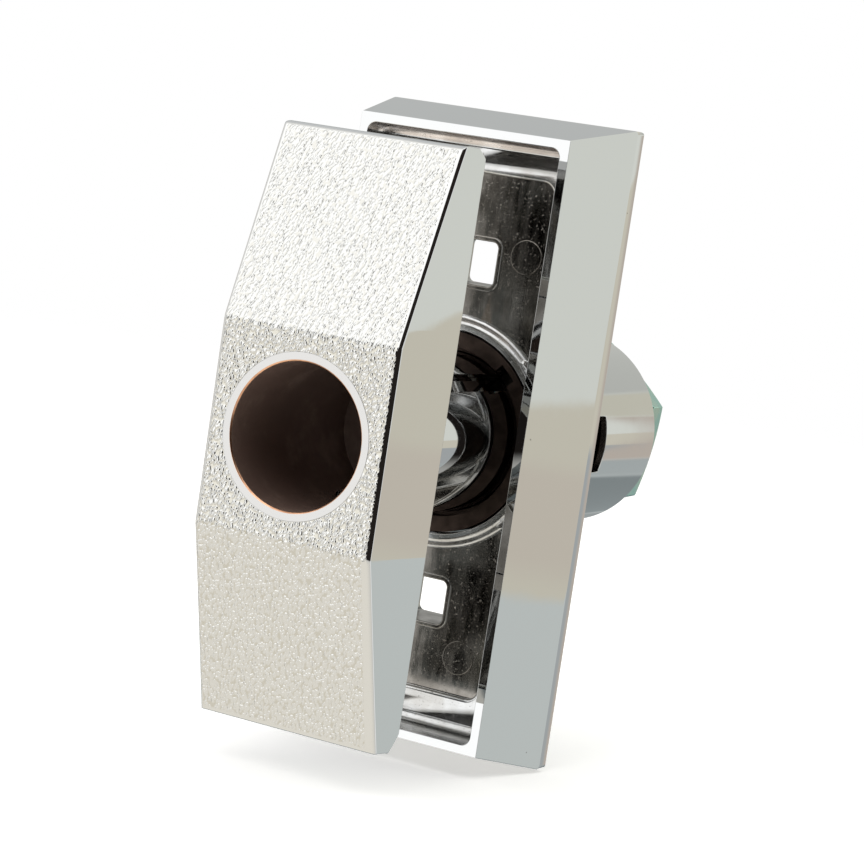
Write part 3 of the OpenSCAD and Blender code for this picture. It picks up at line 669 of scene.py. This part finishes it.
# The room is painted by direction: azimuth runs from +X towards +Y, elevation from the horizon up.
studio = bpy.data.worlds.new("studio")
studio.use_nodes = True
tree = studio.node_tree
tree.nodes.clear()
toward = add(tree, "TexCoord", out="Generated")
x, y, z = add(tree, "SeparateXYZ", {"Vector": toward}).node.outputs
azimuth = add(tree, "Math", (y, x), operation="ARCTAN2")
elevation = add(tree, "Math", (z,), operation="ARCSINE")


def above(level, soft, lean=0.0):
    """1 above an elevation in degrees. Its edge climbs by lean degrees for each degree of azimuth,
    and lies at level where the azimuth is LEAN_ABOUT."""
    climbing = add(tree, "Math", (azimuth, -lean, elevation), operation="MULTIPLY_ADD")
    at = math.radians(level - lean * LEAN_ABOUT)
    half = math.radians(soft)
    return add(tree, "MapRange", (climbing, at - half, at + half), **SMOOTH)


def between(low, high, soft):
    """1 where the azimuth lies between two angles in degrees."""
    starts = (math.radians(low - soft), math.radians(low + soft))
    ends = (math.radians(high - soft), math.radians(high + soft), 1.0, 0.0)
    rise = add(tree, "MapRange", (azimuth, *starts), **SMOOTH)
    fall = add(tree, "MapRange", (azimuth, *ends), **SMOOTH)
    return add(tree, "Math", (rise, fall), operation="MULTIPLY")


def band(low, high, soft):
    """1 between two elevations in degrees."""
    fall = add(tree, "MapRange", (above(high, soft), 0.0, 1.0, 1.0, 0.0), **SMOOTH)
    return add(tree, "Math", (above(low, soft), fall), operation="MULTIPLY")


def paint(under, colour, *masks, gain=1.0):
    """A coloured patch of the room over what is behind it, where all its masks are 1."""
    mask = masks[0]
    for other in masks[1:]:
        mask = add(tree, "Math", (mask, other), operation="MULTIPLY")
    light = [c * gain for c in linear(colour)[:3]] + [1.0]
    return add(tree, "Mix", {"Factor": mask, "A": under, "B": light}, **COLOUR)


seen = paint(linear("#eae6dd"), "#d6d4cf", above(-35, 12))
seen = paint(seen, "#cbcdcf", above(2, 6))
seen = paint(seen, "#ffffff", above(72, 6))
# To the right and behind, a pale wall stands over a beige board on a blue-grey table top. The
# sides of the pocket and the handle mirror them.
right_back = between(22, 108, 5)
seen = paint(seen, "#c8cdcb", right_back)
seen = paint(seen, "#d0cbbc", right_back, above(-8.8, 0.15, 0.015))
seen = paint(seen, "#ccc4b7", right_back, band(-8.5, -6.3, 0.4))
seen = paint(seen, "#a9adae", between(60, 67, 1), band(-40, -5.8, 0.3))
seen = paint(seen, "#dddfd8", right_back, above(-2.65, 0.15, 0.177))
# Straight behind it is darker, and the barrel and the top faces mirror that.
behind = between(66.3, 150, 0.6)
for low, high, colour in ((-90, -20, "#848b8c"), (-20, -13, "#aab0b0"), (-13, 8, "#beb4aa"),
                          (8, 18, "#c8c5b7"), (18, 40, "#bcbdb8")):
    seen = paint(seen, colour, behind, band(low, high, 1.0))
seen = paint(seen, "#8b9090", between(106, 125, 2), band(-30, 0, 2))
seen = paint(seen, "#aeb0af", between(112, 150, 3), band(8, 40, 2))
# A large softbox stands to the left of the camera, and its light also falls on the table there.
front_left = between(-178, -84, 4)
seen = paint(seen, "#eae6dd", front_left)
seen = paint(seen, "#ffffff", front_left, above(-17, 3), gain=SOFTBOX_GAIN)
seen = paint(seen, "#e4e4e2", between(-178, -146, 10), above(-17, 3))
# The right front is the dark room, down to the edge of the lit table and up to a bright ceiling.
dark_room = add(tree, "Math", (between(-80, 14, 5), above(-15, 5)), operation="MULTIPLY")
seen = paint(seen, "#262220", dark_room)
seen = paint(seen, "#ffffff", between(-80, 18, 6), above(48, 8))
# A white card stands at its edge, and lights the rounded edges with a thin line.
seen = paint(seen, "#ffffff", between(15, 27, 3), above(-30, 8))

straight = add(tree, "LightPath", out="Is Camera Ray")
backdrop = add(tree, "Mix", {"Factor": straight, "A": seen, "B": linear("#ffffff")}, **COLOUR)
power = add(tree, "MapRange", (straight, 0.0, 1.0, LIGHT_POWER, 1.0), **SMOOTH)
glow = add(tree, "Background", {"Color": backdrop, "Strength": power})
add(tree, "OutputWorld", {"Surface": glow})
bpy.context.scene.world = studio
bpy.context.scene.view_settings.view_transform = "Standard"

# The table is matt and pale, just below the pocket's foot, and fades out towards its edge. Chrome
# mirrors the painted room alone, which has a table of its own.
table_mesh = bmesh.new()
bmesh.ops.create_circle(table_mesh, cap_ends=True, segments=96, radius=TABLE_R * MM)
bmesh.ops.translate(table_mesh, verts=table_mesh.verts, vec=(0, 0, TABLE_Z * MM))
table_data = bpy.data.meshes.new("table")
table_mesh.to_mesh(table_data)
table_mesh.free()
table = bpy.data.objects.new("table", table_data)
bpy.context.scene.collection.objects.link(table)
pale, tree, place, shader = start_material("pale_table", "#fbfaf8", 0.0, 0.9)
reach = add(tree, "VectorMath", (place,), operation="LENGTH")
fade = add(tree, "MapRange", (reach, TABLE_FADE[0] * MM, TABLE_FADE[1] * MM, 1.0, 0.0), **SMOOTH)
feed(tree, shader, {"Emission Color": linear("#ffffff"), "Emission Strength": 0.35, "Alpha": fade})
table_data.materials.append(pale)
table.visible_glossy = False
